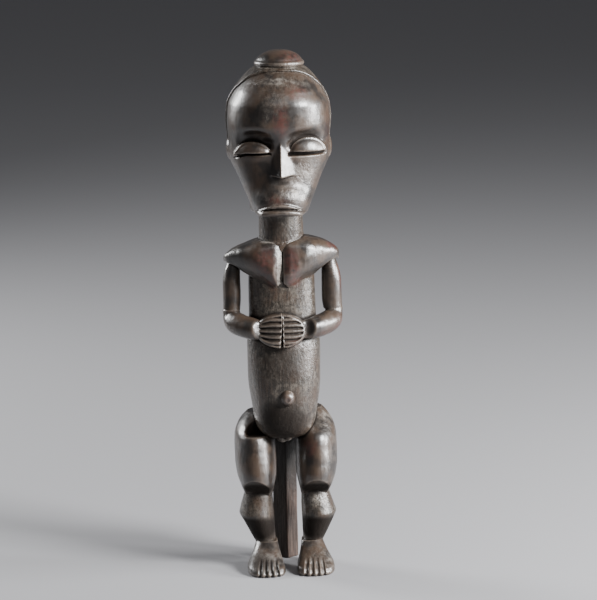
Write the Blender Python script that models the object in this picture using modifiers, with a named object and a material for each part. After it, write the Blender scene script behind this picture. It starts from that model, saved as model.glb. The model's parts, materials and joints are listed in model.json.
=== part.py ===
"""A standing carved wooden figure, built as its carved members.

The figure stands on two feet and on a square post behind its legs. It faces -Y, its left is +X, and the
origin lies on the floor under the middle of the bounding box. Every size below is in millimetres; the
functions that make meshes turn them into metres.

The real carving is one block of wood. Each member that the carver bounded by a cut line, a groove or a step
is its own solid here, and neighbours keep GAP between them.
"""

import math

import bmesh
import bpy
from mathutils import Matrix, Vector

MM = 0.001
GAP = 0.3
CUT_PAST = 4.0  # how far a cutter runs past the solid that it cuts
AROUND = 24  # points in each ring of a loft
STEPS = 2  # rings made for each listed section

# Driving dimensions.
HEIGHT = 400.0
SHOULDER_HALF = 44.5
JAW_Z = 279.5
NECK_FOOT_Z, NECK_RADIUS = 252.0, 16.7
TRUNK_TOP_Z = 236.0
ELBOW_Z = 196.0
KNEE_Z = 59.0
ANKLE_Z = 20.5
TOPKNOT_Z, TOPKNOT_RADIUS = 388.0, 19.0
TOPKNOT_X, TOPKNOT_Y = 1.5, 6.0

HANDS_X, HANDS_Z = -2.0, 190.4  # the middle of the two joined hands, carved a little to the right
HANDS_PARTING_X = -1.2  # where one hand ends and the other begins
HANDS_HALF_WIDTH, HANDS_HALF_HEIGHT = 19.4, 12.7
NAVEL_X, NAVEL_Z, NAVEL_RADII = 1.3, 139.2, (5.3, 5.6, 5.9)
BELLY_Y = -30.6
POST_X, POST_Y, POST_HALF, POST_DEEP, POST_TOP_Z = -0.7, 22.0, 9.8, 8.0, 106.0
EYE_X, EYE_Z, EYE_TOP_Z = 20.5, 324.0, 336.0
EAR_X, EAR_Y, EAR_RADII = 38.6, 3.0, (2.6, 4.4, 7.0)
FOOT_X = 19.4
STANCE, STANCE_TOP_Z = 1.8, 60.0  # both feet stand this far to the left of the hips, less higher up
LAP_Z, LAP_HOLLOW = 106.2, ((19.0, -18.0, 113.2), (13.6, 16.0, 13.0))  # on the right hip only
# Toe grooves: width, half length, the place of their middle, the outermost one's distance from the foot's
# middle, and the slope of their floor in degrees.
TOE_GROOVE, TOE_LENGTH, TOE_Y, TOE_Z, TOE_SPREAD, TOE_SLOPE = 1.1, 9.0, -32.0, 5.0, 8.4, 38
# The flat under each knee, as (y, z) from its top edge to its lower one.
KNEE_FACET = ((-29.5, 75.5), (-14.0, 58.0))
NOSE_TIP_Z, NOSE_ROOT_Z = 306.5, 333.0

# Sections of each loft: height, middle x, half width, front, y of the widest place, back, squareness.
# Squareness is the superellipse's power: 2 is an ellipse, and more is nearer to a rectangle.
SKULL = (
    (279.5, 0, 18.5, -37.0, -14, 13.0, 2.4),
    (285.0, 0, 22.0, -37.5, -12, 18.0, 2.3),
    (303.0, 0, 30.3, -31.0, -4, 30.0, 2.2),
    (314.0, 0, 35.6, -29.0, 0, 34.5, 2.2),
    (324.0, 0, 39.0, -28.5, 2, 37.0, 2.2),
    (335.0, 0, 39.2, -32.0, 2, 38.2, 2.2),
    (347.0, 0, 39.6, -36.5, 3, 38.3, 2.2),
    (360.0, 0, 38.2, -36.5, 3, 37.0, 2.1),
    (370.0, 0, 34.2, -32.0, 3, 34.0, 2.1),
    (378.0, 0, 29.2, -24.0, 4, 29.5, 2.0),
    (384.0, 0, 23.8, -16.0, 5, 25.0, 2.0),
    (387.7, 1, 18.5, -11.5, 6, 22.0, 2.0),
)
TRUNK = (
    (105.0, 0, 17.5, -16.0, 2, 17.0, 2.2),
    (109.0, 0, 21.0, -23.0, 1, 21.0, 2.2),
    (118.0, 0, 23.6, -28.5, 0, 24.0, 2.2),
    (130.0, 0, 25.4, -31.0, 0, 22.0, 2.2),
    (150.0, 0, 27.7, -31.0, -1, 17.5, 2.3),
    (174.0, 0, 28.0, -27.0, -1, 16.0, 2.3),
    (201.0, 0, 25.5, -21.0, -1, 16.5, 2.4),
    (236.0, 0, 25.0, -17.5, 0, 17.0, 2.4),
)
THIGH = (
    (58.9, 21.8, 10.8, -15.5, -4, 7.0, 2.3),
    (66.0, 22.6, 13.0, -22.5, -7, 8.0, 2.4),
    (73.0, 23.0, 15.2, -28.0, -7, 10.0, 2.4),
    (86.0, 23.6, 15.8, -25.5, -3, 15.0, 2.3),
    (96.0, 23.7, 15.8, -21.5, 3, 27.5, 2.2),
    (107.0, 23.6, 15.2, -18.5, 8, 32.0, 2.2),
    (116.0, 23.0, 12.0, -8.0, 10, 29.5, 2.2),
    (121.5, 22.0, 6.0, 2.0, 12, 22.0, 2.1),
)
# The calf is two cones that meet on an arris.
CALF = (
    (20.8, 18.3, 8.1, -11.5, -1.9, 6.2, 2.1),
    (43.0, 24.2, 13.5, -19.0, -1, 14.2, 2.1),
    (58.6, 22.0, 11.1, -14.7, -2.6, 8.3, 2.1),
)
FOOT = (
    (0.0, 19.4, 13.9, -37.5, -24, 8.0, 2.7),
    (3.5, 19.4, 14.4, -38.5, -24, 8.5, 2.7),
    (9.0, 19.2, 13.2, -30.0, -20, 8.0, 2.5),
    (15.0, 18.3, 10.4, -20.5, -12, 7.0, 2.3),
    (20.5, 17.8, 8.0, -12.5, -4, 5.7, 2.2),
)
# The yoke of chest and shoulders runs along X: distance from the middle, bottom z, top z, front y, back y.
YOKE = (
    (0.0, 220.5, 258.0, -20.5, 17.5),
    (7.0, 220.5, 259.5, -22.5, 18.0),
    (17.0, 226.5, 259.5, -21.5, 17.0),
    (30.0, 234.0, 254.5, -15.5, 14.5),
    (38.0, 237.0, 251.0, -10.5, 11.5),
    (43.0, 238.5, 249.0, -7.5, 9.0),
    (SHOULDER_HALF, 241.0, 247.0, -4.0, 6.0),
)
# The hair line in side view: y of the front edge of the hair at each height.
HAIRLINE = ((-12.5, 384.5), (-4.0, 377.0), (2.0, 369.0), (6.0, 350.0), (9.0, 320.0), (11.0, 279.0))

# Centre lines of the arms on the +X side, with the radius at each point.
UPPER_ARM = (
    (38.5, 3.0, 244.0, 4.4),
    (37.6, 2.0, 236.0, 5.4),
    (38.4, 0.5, 222.0, 6.8),
    (38.6, -1.3, 207.0, 6.8),
    (38.8, -3.0, 190.0, 6.6),
)
FOREARM = (
    (44.0, 0.5, 195.5, 3.2),
    (41.5, -1.5, 194.4, 5.6),
    (38.0, -5.5, 192.8, 7.0),
    (32.0, -14.0, 191.8, 7.2),
    (25.0, -21.5, 191.3, 7.1),
    (16.0, -26.5, 191.0, 6.8),
)

COLOURS = {
    "polished_patina": ((0.030, 0.018, 0.013), 0.32),
    "matt_patina": ((0.045, 0.032, 0.024), 0.55),
    "worn_wood": ((0.090, 0.048, 0.030), 0.62),
}


def clear_scene():
    for obj in list(bpy.data.objects):
        bpy.data.objects.remove(obj)


def new_collection(name):
    collection = bpy.data.collections.new(name)
    bpy.context.scene.collection.children.link(collection)
    return collection


def material(name):
    """The Principled material of this finish, made once."""
    if name in bpy.data.materials:
        return bpy.data.materials[name]
    colour, roughness = COLOURS[name]
    made = bpy.data.materials.new(name)
    made.use_nodes = True
    shader = made.node_tree.nodes["Principled BSDF"]
    shader.inputs["Base Color"].default_value = (*colour, 1.0)
    shader.inputs["Roughness"].default_value = roughness
    shader.inputs["Metallic"].default_value = 0.0
    return made


def object_from(mesh_builder, name, collection):
    """A new object from a bmesh, shaded smooth with its hard edges kept."""
    bmesh.ops.recalc_face_normals(mesh_builder, faces=mesh_builder.faces)
    mesh = bpy.data.meshes.new(name)
    mesh_builder.to_mesh(mesh)
    mesh_builder.free()
    mesh.shade_smooth()
    mesh.set_sharp_from_angle(angle=math.radians(35))
    obj = bpy.data.objects.new(name, mesh)
    collection.objects.link(obj)
    return obj


def piece(mesh_builder, name, finish):
    obj = object_from(mesh_builder, name, PIECES)
    obj.data.materials.append(material(finish))
    return obj


def cutter(mesh_builder, name):
    obj = object_from(mesh_builder, name, CUTTERS)
    obj.hide_render = True
    obj.display_type = "WIRE"
    return obj


def combine(obj, other, operation):
    modifier = obj.modifiers.new(f"{operation.lower()} {other.name}", "BOOLEAN")
    modifier.object = other
    modifier.operation = operation


def cut(obj, *cutters):
    for other in cutters:
        combine(obj, other, "DIFFERENCE")


def smoothed(rows, steps):
    """The rows with others between them, on a curve through each column that doesn't overshoot."""
    out = []
    for i in range(len(rows) - 1):
        before, start, end = rows[max(i - 1, 0)], rows[i], rows[i + 1]
        after = rows[min(i + 2, len(rows) - 1)]
        for k in range(steps):
            t = k / steps
            row = []
            for a, b, c, d in zip(before, start, end, after):
                into = 0.0 if (b - a) * (c - b) <= 0 else (c - a) / 2
                out_of = 0.0 if (c - b) * (d - c) <= 0 else (d - b) / 2
                into = max(min(into, 3 * abs(c - b)), -3 * abs(c - b))
                out_of = max(min(out_of, 3 * abs(c - b)), -3 * abs(c - b))
                hermite = (
                    (2 * t**3 - 3 * t**2 + 1) * b
                    + (t**3 - 2 * t**2 + t) * into
                    + (3 * t**2 - 2 * t**3) * c
                    + (t**3 - t**2) * out_of
                )
                row.append(hermite)
            out.append(tuple(row))
    out.append(tuple(rows[-1]))
    return out


def superellipse(angle, power):
    """A point on the unit superellipse, on the ray nearest to this angle."""
    c, s = math.cos(angle), math.sin(angle)
    return (
        math.copysign(abs(c) ** (2 / power), c),
        math.copysign(abs(s) ** (2 / power), s),
    )


def skin(rings):
    """A closed bmesh over rings of equal length, given in millimetres."""
    bm = bmesh.new()
    rows = [[bm.verts.new(Vector(p) * MM) for p in ring] for ring in rings]
    for low, high in zip(rows, rows[1:]):
        for k in range(len(low)):
            m = (k + 1) % len(low)
            bm.faces.new((low[k], low[m], high[m], high[k]))
    bm.faces.new(rows[0][::-1])
    bm.faces.new(rows[-1])
    return bm


def upright_loft(sections, side=1, grow=0.0, steps=STEPS):
    """A loft up the Z axis. grow moves the surface outwards, and side -1 mirrors it to the right."""
    rings = []
    rows = smoothed(sections, steps)
    for i, (z, mid_x, half, front, mid_y, back, power) in enumerate(rows):
        if i == 0:
            z -= grow
        if i == len(rows) - 1:
            z += grow
        ring = []
        for k in range(AROUND):
            u, v = superellipse(2 * math.pi * k / AROUND, power)
            depth = (back - mid_y if v > 0 else mid_y - front) + grow
            ring.append((side * mid_x + u * (half + grow), mid_y + v * depth, z))
        rings.append(ring)
    return skin(rings)


def yoke_loft(grow=0.0):
    """The chest and shoulders: sections along X, mirrored about the middle."""
    half = smoothed(YOKE, STEPS)
    rows = [(-x, *rest) for x, *rest in half[:0:-1]] + half
    rings = []
    for i, (x, bottom, top, front, back) in enumerate(rows):
        if i in (0, len(rows) - 1):
            x += math.copysign(grow, x)
        ring = []
        for k in range(AROUND):
            u, v = superellipse(2 * math.pi * k / AROUND, 2.3)
            depth, rise = (back - front) / 2 + grow, (top - bottom) / 2 + grow
            ring.append((x, (front + back) / 2 + u * depth, (bottom + top) / 2 + v * rise))
        rings.append(ring)
    return skin(rings)


def limb_loft(points, side, flat=1.0):
    """A round limb along a centre line. flat narrows it across its own plane."""
    rows = smoothed(points, STEPS)
    centres = [Vector((side * x, y, z)) for x, y, z, _ in rows]
    rings = []
    for i, centre in enumerate(centres):
        along = (centres[min(i + 1, len(rows) - 1)] - centres[max(i - 1, 0)]).normalized()
        across = along.cross(Vector((0, 0, 1)) if abs(along.z) < 0.7 else Vector((0, 1, 0))).normalized()
        up = across.cross(along)
        radius = rows[i][3]
        ring = []
        for k in range(AROUND // 2 + 2):
            angle = 2 * math.pi * k / (AROUND // 2 + 2)
            ring.append(centre + across * radius * flat * math.cos(angle) + up * radius * math.sin(angle))
        rings.append(ring)
    return skin(rings)


def box(low, high):
    bm = bmesh.new()
    bmesh.ops.create_cube(bm, size=1.0)
    low, high = Vector(low) * MM, Vector(high) * MM
    bmesh.ops.transform(
        bm,
        matrix=Matrix.Translation((low + high) / 2) @ Matrix.Diagonal((*(high - low), 1.0)),
        verts=bm.verts,
    )
    return bm


def ellipsoid(centre, radii, turn=(0.0, 0.0, 0.0), segments=24):
    bm = bmesh.new()
    bmesh.ops.create_uvsphere(bm, u_segments=segments, v_segments=segments // 2, radius=1.0)
    angles = [Matrix.Rotation(math.radians(a), 4, axis) for a, axis in zip(turn, "XYZ")]
    place = Matrix.Translation(Vector(centre) * MM) @ angles[2] @ angles[1] @ angles[0]
    bmesh.ops.transform(
        bm, matrix=place @ Matrix.Diagonal((*(Vector(radii) * MM), 1.0)), verts=bm.verts
    )
    return bm


def cylinder(centre, radius, low, high, segments=40):
    bm = bmesh.new()
    bmesh.ops.create_cone(
        bm,
        cap_ends=True,
        segments=segments,
        radius1=radius * MM,
        radius2=radius * MM,
        depth=(high - low) * MM,
    )
    middle = Vector((*centre, (low + high) / 2)) * MM
    bmesh.ops.translate(bm, vec=middle, verts=bm.verts)
    return bm


def extruded(outline, low_x, high_x):
    """A prism along X over an outline given as (y, z) points."""
    return skin([[(x, y, z) for y, z in outline] for x in (low_x, high_x)])


def hair_side(shift):
    """The (y, z) outline of the space behind the hair line, moved back by shift."""
    edge = [(y + shift, z) for y, z in HAIRLINE]
    (top_y, top_z), (foot_y, foot_z) = edge[0], edge[-1]
    return [
        (top_y, top_z + 3 * CUT_PAST),
        *edge,
        (foot_y, foot_z - 3 * CUT_PAST),
        (90.0, foot_z - 3 * CUT_PAST),
        (90.0, top_z + 3 * CUT_PAST),
    ]


def make_head():
    head = piece(upright_loft(SKULL), "head", "polished_patina")
    cut(head, cutter(extruded(hair_side(-GAP), -60, 60), "cut_behind_hairline"))
    for side in (-1, 1):
        eye = (side * EYE_X, -27.5, (EYE_Z + EYE_TOP_Z) / 2)
        cut(head, cutter(ellipsoid(eye, (15.5, 7.5, 8.0), (0, 0, side * 22)), f"cut_socket_{side}"))
        lid = ellipsoid(
            (side * EYE_X, -20.5, EYE_Z + 4.5), (14.5, 9.5, 7.0), (0, 0, side * 22)
        )
        combine(head, cutter(lid, f"lid_{side}"), "UNION")
        slit = ellipsoid((side * EYE_X, -29.5, EYE_Z - 0.2), (13.5, 6.0, 1.3), (0, 0, side * 22))
        cut(head, cutter(slit, f"cut_slit_{side}"))
    nose_rows = (
        (NOSE_TIP_Z, 7.2, -36.5),
        (NOSE_TIP_Z + 6, 6.2, -35.6),
        (NOSE_ROOT_Z, 3.2, -32.5),
        (NOSE_ROOT_Z + 8, 1.8, -33.0),
    )
    nose = skin([[(-w, -20, z), (0.0, y, z), (w, -20, z)] for z, w, y in nose_rows])
    combine(head, cutter(nose, "nose"), "UNION")
    lips = ellipsoid((-1.0, -27.0, 283.2), (18.0, 12.5, 4.6))
    combine(head, cutter(lips, "lips"), "UNION")
    cut(
        head,
        cutter(ellipsoid((-1.0, -38.5, 284.3), (15.5, 4.5, 0.9)), "cut_mouth"),
        cutter(box((-60, -80, JAW_Z - 20), (60, 60, JAW_Z)), "cut_under_jaw"),
    )


def make_hair():
    hair = piece(upright_loft(SKULL, grow=1.2), "coiffure", "matt_patina")
    combine(
        hair, cutter(extruded(hair_side(0.0), -60, 60), "keep_behind_hairline"), "INTERSECT"
    )
    cut(
        hair,
        cutter(box((-60, -80, JAW_Z - 20), (60, 80, JAW_Z)), "cut_under_hair"),
        cutter(box((-60, -80, TOPKNOT_Z - GAP), (60, 80, HEIGHT + 20)), "cut_under_topknot"),
    )
    make_topknot()
    for side, name in ((1, "left_ear"), (-1, "right_ear")):
        shape = ellipsoid((side * EAR_X, EAR_Y, EYE_Z), EAR_RADII, segments=20)
        ear = piece(shape, name, "polished_patina")
        skull = cutter(upright_loft(SKULL, grow=1.2 + GAP), f"cut_ear_{side}")
        cut(ear, skull)


def make_topknot():
    """A low dome with a rolled rim, turned about its own upright axis."""
    radius, base = TOPKNOT_RADIUS, TOPKNOT_Z
    profile = [(0.0, HEIGHT)]
    for k in range(1, 7):
        angle = math.radians(90 - 12 * k)
        profile.append((radius * 1.02 * math.cos(angle), base + 3 + (HEIGHT - base - 3) * math.sin(angle)))
    profile += [(radius, base + 3.0), (radius - 0.6, base + 1.0), (radius - 2.0, base), (0.0, base)]
    bm = bmesh.new()
    spun = [bm.verts.new(Vector((x, 0, z)) * MM) for x, z in profile]
    for a, b in zip(spun, spun[1:]):
        bm.edges.new((a, b))
    mesh = bpy.data.meshes.new("topknot")
    bm.to_mesh(mesh)
    bm.free()
    topknot = bpy.data.objects.new("topknot", mesh)
    PIECES.objects.link(topknot)
    topknot.data.materials.append(material("polished_patina"))
    topknot.location = Vector((TOPKNOT_X, TOPKNOT_Y, 0)) * MM
    turned = topknot.modifiers.new("turned", "SCREW")
    turned.steps = turned.render_steps = 36
    turned.use_merge_vertices = True
    turned.merge_threshold = 0.00005
    turned.use_smooth_shade = True


def make_trunk():
    trunk = piece(upright_loft(TRUNK), "trunk", "matt_patina")
    groin = ellipsoid((1.0, -14.5, 105.0), (5.0, 6.0, 4.5), segments=16)
    combine(trunk, cutter(groin, "groin_stub"), "UNION")
    knob = ellipsoid((NAVEL_X, BELLY_Y, NAVEL_Z), NAVEL_RADII, segments=16)
    navel = piece(knob, "navel", "polished_patina")
    cut(navel, trunk_cutter("cut_navel"))


def trunk_cutter(name):
    return cutter(upright_loft(TRUNK, grow=GAP), name)


def make_chest():
    chest = piece(yoke_loft(), "chest", "polished_patina")
    cut(
        chest,
        cutter(cylinder((0, 0), NECK_RADIUS + GAP, NECK_FOOT_Z - GAP, 290), "cut_neck_seat"),
        trunk_cutter("cut_chest"),
    )
    groove = skin(
        [
            [(-2.6 - half, -60, z), (-2.6 + half, -60, z), (-2.6, deep, z)]
            for z, half, deep in ((210, 10.0, -13.0), (232, 7.0, -17.0), (254, 2.0, -19.0))
        ]
    )
    cut(chest, cutter(groove, "cut_breast_groove"))
    neck = piece(
        cylinder((0, 0), NECK_RADIUS, NECK_FOOT_Z, JAW_Z - GAP), "neck", "matt_patina"
    )
    neck.data.shade_smooth()
    neck.data.set_sharp_from_angle(angle=math.radians(35))


def elbow_cutter(side, upper, shift):
    """The half space on one side of the slanting elbow crease: upper keeps what lies above it."""
    bm = box((-100, -100, -200), (100, 100, 0)) if upper else box((-100, -100, 0), (100, 100, 200))
    tilt = Matrix.Rotation(math.radians(side * 38), 4, "Y")
    place = Matrix.Translation(Vector((side * 39.0, 0, ELBOW_Z + shift)) * MM)
    bmesh.ops.transform(bm, matrix=place @ tilt, verts=bm.verts)
    return cutter(bm, f"cut_{'upper_arm' if upper else 'forearm'}_{side}")


def make_arm(side, word):
    upper = piece(limb_loft(UPPER_ARM, side), f"{word}_upper_arm", "polished_patina")
    cut(
        upper,
        cutter(yoke_loft(grow=GAP), f"cut_shoulder_{side}"),
        elbow_cutter(side, True, GAP),
    )
    forearm = piece(limb_loft(FOREARM, side, flat=0.88), f"{word}_forearm", "polished_patina")
    cut(
        forearm,
        trunk_cutter(f"cut_forearm_{side}"),
        elbow_cutter(side, False, 0.0),
        hand_cutter(side),
    )


def hand_shape(grow=0.0):
    return ellipsoid(
        (HANDS_X, -16.0, HANDS_Z),
        (HANDS_HALF_WIDTH + grow, 14.5 + grow, HANDS_HALF_HEIGHT + grow),
        segments=36,
    )


def hand_cutter(side):
    return cutter(hand_shape(grow=GAP), f"cut_wrist_{side}")


def make_hand(side, word):
    """Half of the joined hands, with four grooves between its five fingers."""
    hand = piece(hand_shape(), f"{word}_hand", "polished_patina")
    near, far = HANDS_PARTING_X + side * GAP, HANDS_PARTING_X - side * 60
    middle = box((min(near, far), -90, 150), (max(near, far), 90, 240))
    cut(hand, cutter(middle, f"cut_hand_middle_{side}"), trunk_cutter(f"cut_hand_{side}"))
    for k in range(4):
        level = HANDS_Z + (k - 1.5) * 5.0
        bm = box((-11, -40, -0.5), (11, -28.0, 0.5))
        lean = Matrix.Rotation(math.radians(side * (k - 1.5) * 4), 4, "Y")
        place = Matrix.Translation(Vector((HANDS_X + side * 12.5, 0, level)) * MM)
        bmesh.ops.transform(bm, matrix=place @ lean, verts=bm.verts)
        cut(hand, cutter(bm, f"cut_finger_{side}_{k}"))


def stance(sections, side):
    """The sections of a leg, with their shift towards the left taken in."""
    rows = []
    for z, middle, *rest in sections:
        shift = STANCE * max(0.0, 1 - z / STANCE_TOP_Z)
        rows.append((z, middle + side * shift, *rest))
    return rows


def make_leg(side, word):
    thigh = piece(upright_loft(THIGH, side), f"{word}_thigh", "polished_patina")
    knee = [(y, z) for y, z in KNEE_FACET] + [(-60.0, KNEE_FACET[-1][1]), (-60.0, KNEE_FACET[0][1])]
    cut(
        thigh,
        trunk_cutter(f"cut_thigh_{side}"),
        cutter(post_shape(GAP), f"cut_post_way_{side}"),
        cutter(extruded(knee, -60, 60), f"cut_knee_{side}"),
    )
    if side < 0:
        middle, radii = LAP_HOLLOW
        hollow = cutter(ellipsoid((side * middle[0], *middle[1:]), radii), "cut_lap")
        combine(hollow, cutter(box((-60, -60, LAP_Z), (60, 60, 160)), "over_lap"), "INTERSECT")
        cut(thigh, hollow)
    piece(upright_loft(stance(CALF, side), side, steps=1), f"{word}_calf", "matt_patina")
    foot = piece(upright_loft(stance(FOOT, side), side), f"{word}_foot", "polished_patina")
    for k in range(4):
        fan = (k - 1.5) / 1.5
        bm = box((-TOE_GROOVE / 2, -TOE_LENGTH, -1.0), (TOE_GROOVE / 2, TOE_LENGTH, 12.0))
        splay = Matrix.Rotation(math.radians(fan * 5), 4, "Z")
        toe_x = side * FOOT_X + STANCE + fan * TOE_SPREAD
        place = Matrix.Translation(Vector((toe_x, TOE_Y, TOE_Z)) * MM)
        slope = Matrix.Rotation(math.radians(TOE_SLOPE), 4, "X")
        bmesh.ops.transform(bm, matrix=place @ splay @ slope, verts=bm.verts)
        cut(foot, cutter(bm, f"cut_toe_{side}_{k}"))


def post_shape(grow=0.0):
    """The rear post: a four-sided section with one edge forward."""
    half, deep = POST_HALF + grow * math.sqrt(2), POST_DEEP + grow * math.sqrt(2)
    corners = ((half, 0), (0, deep), (-half, 0), (0, -deep))
    top = POST_TOP_Z + (60 if grow else 0)
    return skin([[(POST_X + x, POST_Y + y, z) for x, y in corners] for z in (0.0, top)])


def make_post():
    post = piece(post_shape(), "rear_post", "worn_wood")
    cut(post, trunk_cutter("cut_post"))


clear_scene()
PIECES = new_collection("carved_figure")
CUTTERS = new_collection("cutters")

make_head()
make_hair()
make_trunk()
make_chest()
make_post()
for SIDE, WORD in ((1, "left"), (-1, "right")):
    make_arm(SIDE, WORD)
    make_hand(SIDE, WORD)
    make_leg(SIDE, WORD)
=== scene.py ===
"""The looks of the carved standing figure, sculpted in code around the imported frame.

Each CAD member is replaced by a carved one. A member is written as a signed distance field, in millimetres:
negative inside the wood, positive outside. Fields are joined, cut and bevelled as a carver would work, then
sampled on a lattice and turned into a closed mesh. Small marks of the knife and the grain move its points.
"""

import json
import math
from functools import partial, reduce

import bpy
import numpy as np
from mathutils import Matrix, Vector


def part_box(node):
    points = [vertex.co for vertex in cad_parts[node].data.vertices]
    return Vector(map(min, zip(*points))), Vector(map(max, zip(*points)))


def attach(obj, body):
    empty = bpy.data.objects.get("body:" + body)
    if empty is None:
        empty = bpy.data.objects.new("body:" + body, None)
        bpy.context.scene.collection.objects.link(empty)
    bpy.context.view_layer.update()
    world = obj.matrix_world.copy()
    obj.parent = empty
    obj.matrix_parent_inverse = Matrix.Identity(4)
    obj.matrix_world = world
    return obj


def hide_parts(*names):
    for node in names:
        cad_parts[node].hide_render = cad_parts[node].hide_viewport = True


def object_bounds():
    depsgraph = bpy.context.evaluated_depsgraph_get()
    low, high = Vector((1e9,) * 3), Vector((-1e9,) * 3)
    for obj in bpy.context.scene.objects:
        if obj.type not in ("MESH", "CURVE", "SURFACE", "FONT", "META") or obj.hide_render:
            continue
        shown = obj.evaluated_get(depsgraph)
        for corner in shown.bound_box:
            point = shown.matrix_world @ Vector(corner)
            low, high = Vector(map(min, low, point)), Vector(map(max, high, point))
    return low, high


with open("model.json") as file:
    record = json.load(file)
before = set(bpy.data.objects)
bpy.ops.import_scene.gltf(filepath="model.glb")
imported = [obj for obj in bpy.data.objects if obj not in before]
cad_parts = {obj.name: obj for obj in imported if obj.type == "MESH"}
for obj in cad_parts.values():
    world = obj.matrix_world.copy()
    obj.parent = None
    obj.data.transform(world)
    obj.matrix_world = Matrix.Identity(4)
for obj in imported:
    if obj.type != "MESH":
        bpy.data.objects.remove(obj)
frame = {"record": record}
cad_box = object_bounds()

MM = 0.001
BROAD = 0.58  # spacing of the sampling lattice, for the largest members
LATTICE = 0.5  # the same, for the others
FINE = 0.36  # the same, for hands, feet and small pieces
MARGIN = 5.0  # how far a lattice reaches past its CAD node
LIMB_STRETCHES = 26  # straight stretches that a limb's curve is divided into
LEAST_STEEPNESS = 0.3  # a field that is flatter than this is rescaled as if it were this steep
TINY = 1e-3  # what a divisor never falls below
NEWTON_ROUNDS, NEWTON_MOST = 2, 0.4  # how often a mesh is pulled onto its surface, and the furthest, in steps


# ---- Fields ----


def mm_box(node):
    """Lowest and highest corner of a CAD node, in millimetres."""
    low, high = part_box(node)
    return np.array(low) / MM, np.array(high) / MM


def soft_min(a, b, radius):
    """The lower of two fields, with the crease between them filled to about this radius."""
    blend = np.maximum(radius - np.abs(a - b), 0) / radius
    return np.minimum(a, b) - blend * blend * radius / 4


def soft_max(a, b, radius):
    return -soft_min(-a, -b, radius)


def union(first, *others, radius=1.0):
    return reduce(lambda a, b: soft_min(a, b, radius), others, first)


def keep(first, *others, radius=1.0):
    """What all the fields share, with its edges rounded to about this radius."""
    return reduce(lambda a, b: soft_max(a, b, radius), others, first)


def carve(body, *tools, radius=1.0):
    return reduce(lambda a, b: soft_max(a, -b, radius), tools, body)


def ramp(value, start, end):
    """0 at start and 1 at end, eased at both."""
    t = np.clip((value - start) / (end - start), 0, 1)
    return t * t * (3 - 2 * t)


def curve(at, knots, values):
    """A smooth curve through the values at the knots that never swings past them."""
    knots, values = np.asarray(knots, float), np.asarray(values, float)
    slope = np.diff(values) / np.diff(knots)
    before, after = slope[:-1], slope[1:]
    total = np.where(before * after > 0, before + after, 1)
    inner = np.where(before * after > 0, 2 * before * after / total, 0)
    tangent = np.concatenate([slope[:1], inner, slope[-1:]])
    at = np.clip(at, knots[0], knots[-1])
    i = np.clip(np.searchsorted(knots, at, side="right") - 1, 0, len(knots) - 2)
    width = knots[i + 1] - knots[i]
    t = (at - knots[i]) / width
    return (
        (2 * t**3 - 3 * t**2 + 1) * values[i]
        + (t**3 - 2 * t**2 + t) * width * tangent[i]
        + (3 * t**2 - 2 * t**3) * values[i + 1]
        + (t**3 - t**2) * width * tangent[i + 1]
    )


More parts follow.
